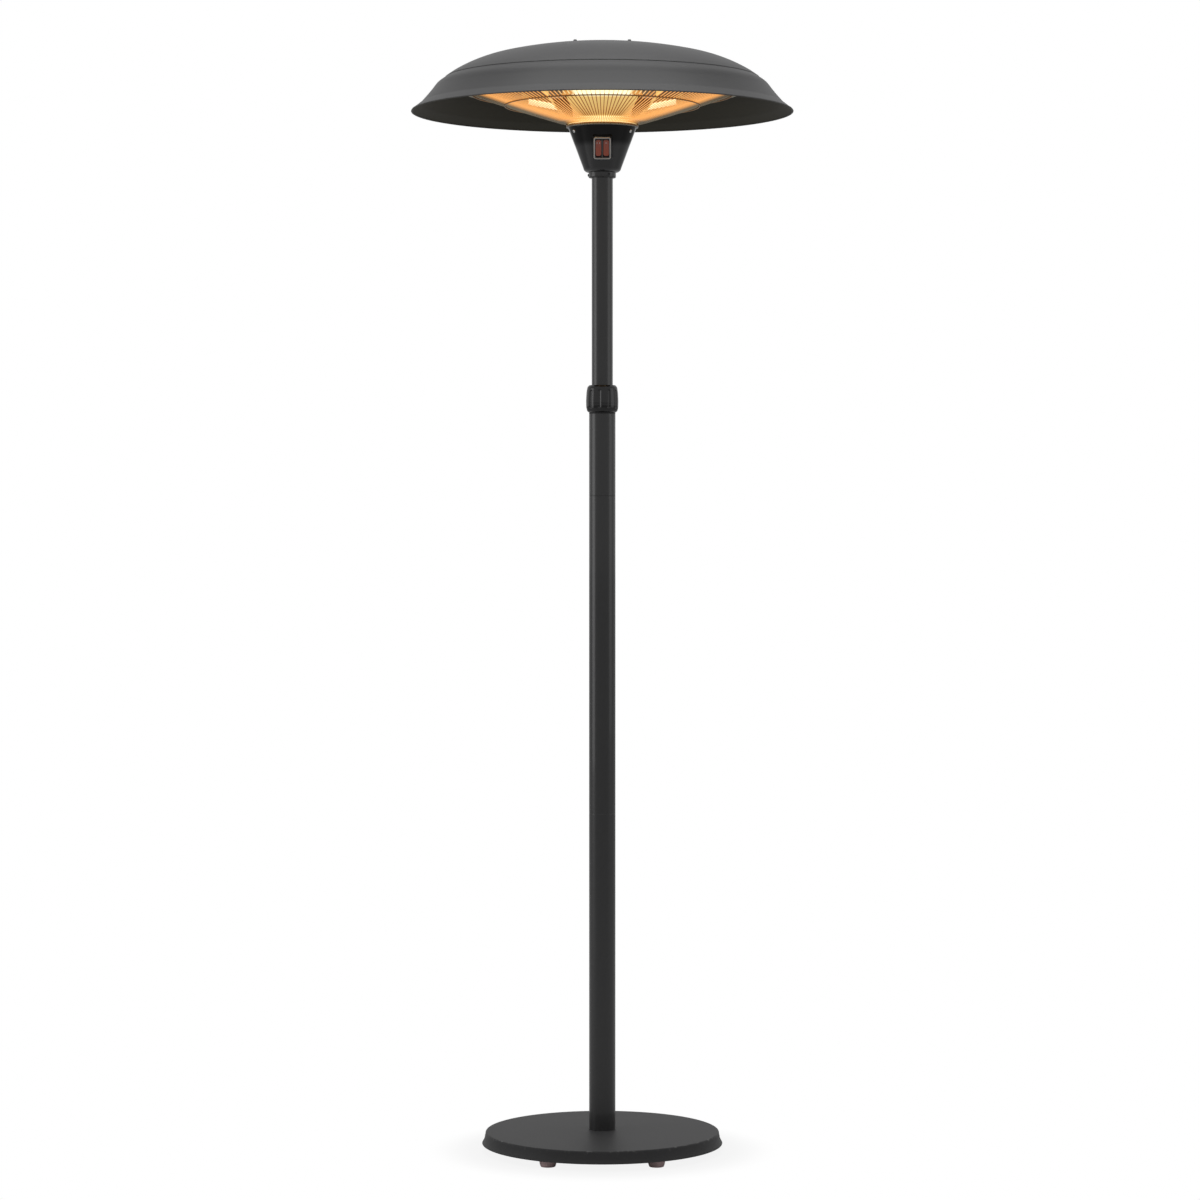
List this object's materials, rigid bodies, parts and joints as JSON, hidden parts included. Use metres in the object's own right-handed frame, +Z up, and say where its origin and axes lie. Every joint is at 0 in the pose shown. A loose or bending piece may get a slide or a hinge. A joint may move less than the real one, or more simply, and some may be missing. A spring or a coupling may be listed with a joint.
{
  "type": "electric patio heater",
  "caption": "Free-standing electric patio heater: round grey hood over a wire-guarded ring of halogen lamps, on a telescopic black mast with a round weighted base.",
  "frame": {"origin": "on the floor under the mast's axis", "axes": "+Z up along the mast, -Y towards the front where the switch is, +X to the right seen from the front"},
  "size_m": [0.7228, 0.7228, 2.1043],
  "materials": {
    "foot_rubber": "reddish-brown moulded rubber, matt",
    "zinc_steel": "zinc-plated, satin",
    "black_paint": "black powder coat, satin",
    "base_paint": "dark grey powder coat, satin",
    "mast_paint": "black powder coat, semi-gloss",
    "weight_iron": "cast, unmachined",
    "black_plastic": "moulded, fine grain",
    "nylon": "natural nylon",
    "gloss_black": "glossy black moulding",
    "black_screw": "blackened steel",
    "frame_grey": "grey moulded rim",
    "rocker_red": "orange-red, slightly translucent",
    "terminal_white": "moulded white",
    "polished_aluminium": "polished",
    "mirror_aluminium": "anodised mirror sheet",
    "nut_chrome": "bright plated",
    "quartz": "clear fused quartz",
    "filament_metal": "glowing coil",
    "ceramic": null,
    "lead_sleeve": "woven glass-fibre sleeving",
    "guard_steel": "bright plated wire",
    "hood_paint": "grey metallic paint, satin"
  },
  "bodies": {
    "base": {"feet": "foot_rubber", "foot_screws": "zinc_steel", "base_plate": "black_paint", "base_weight": "weight_iron", "base_cover": "base_paint", "mast_washer": "zinc_steel", "mast_bolt": "zinc_steel", "mast_plug": "weight_iron", "mast_tube_low": "mast_paint", "mast_tube_middle": "mast_paint", "mast_tube_top": "mast_paint", "joint_sleeve_low": "zinc_steel", "joint_sleeve_high": "zinc_steel", "clamp_sleeve": "black_plastic"},
    "collet": {"collet": "nylon"},
    "collar": {"collar_nut": "gloss_black"},
    "slider": {"guide_bush": "nylon"},
    "head": {"upper_tube": "mast_paint", "tube_end_plug": "black_plastic", "neck_clamp": "black_paint", "neck_screws": "black_screw", "control_housing": "gloss_black", "housing_screws": "black_screw", "switch_frame": "frame_grey", "switch_body": "black_plastic", "cable_gland": "black_plastic", "gland_nut": "black_plastic", "gland_locknut": "black_plastic", "terminal_block": "terminal_white", "tip_over_switch": "black_plastic", "hub_plate": "black_paint", "hub_cap": "polished_aluminium", "wire_conduit": "zinc_steel", "head_posts": "polished_aluminium", "post_spacers": "zinc_steel", "hood_washers": "zinc_steel", "hood_nuts": "nut_chrome", "reflector_pan": "polished_aluminium", "lamp_reflectors": "mirror_aluminium", "lamp_tubes": "quartz", "lamp_filaments": "filament_metal", "lamp_holders": "ceramic", "lamp_brackets": "zinc_steel", "lamp_leads": "lead_sleeve", "guard_wires": "guard_steel", "guard_rings": "guard_steel", "guard_clips": "zinc_steel", "hood_dome": "hood_paint", "hood_skirt": "hood_paint"},
    "rocker_left": {"rocker_left": "rocker_red"},
    "rocker_right": {"rocker_right": "rocker_red"}
  },
  "joints": [
    {"name": "collet_lift", "type": "slide", "parent": "base", "child": "collet", "axis": [0, 0, 1], "range_m": [0, 0.0015]},
    {"name": "collar_turn", "type": "hinge", "parent": "collet", "child": "collar", "pos_m": [0, 0, 1.42905], "axis": [0, 0, 1], "range_deg": [0, 180]},
    {"name": "mast_slide", "type": "slide", "parent": "base", "child": "slider", "axis": [0, 0, 1], "range_m": [-0.35, 0]},
    {"name": "head_turn", "type": "hinge", "parent": "slider", "child": "head", "pos_m": [0, 0, 1.35535], "axis": [0, 0, 1], "continuous": true},
    {"name": "left_rocker", "type": "hinge", "parent": "head", "child": "rocker_left", "pos_m": [-0.0073, -0.04873, 1.89885], "axis": [1, 0, 0], "range_deg": [0, 14]},
    {"name": "right_rocker", "type": "hinge", "parent": "head", "child": "rocker_right", "pos_m": [0.0073, -0.04873, 1.89885], "axis": [1, 0, 0], "range_deg": [0, 14]}
  ],
  "couplings": [
    {"joint": "collet_lift", "follows": "collar_turn", "m_per_rad": 0.000477}
  ]
}
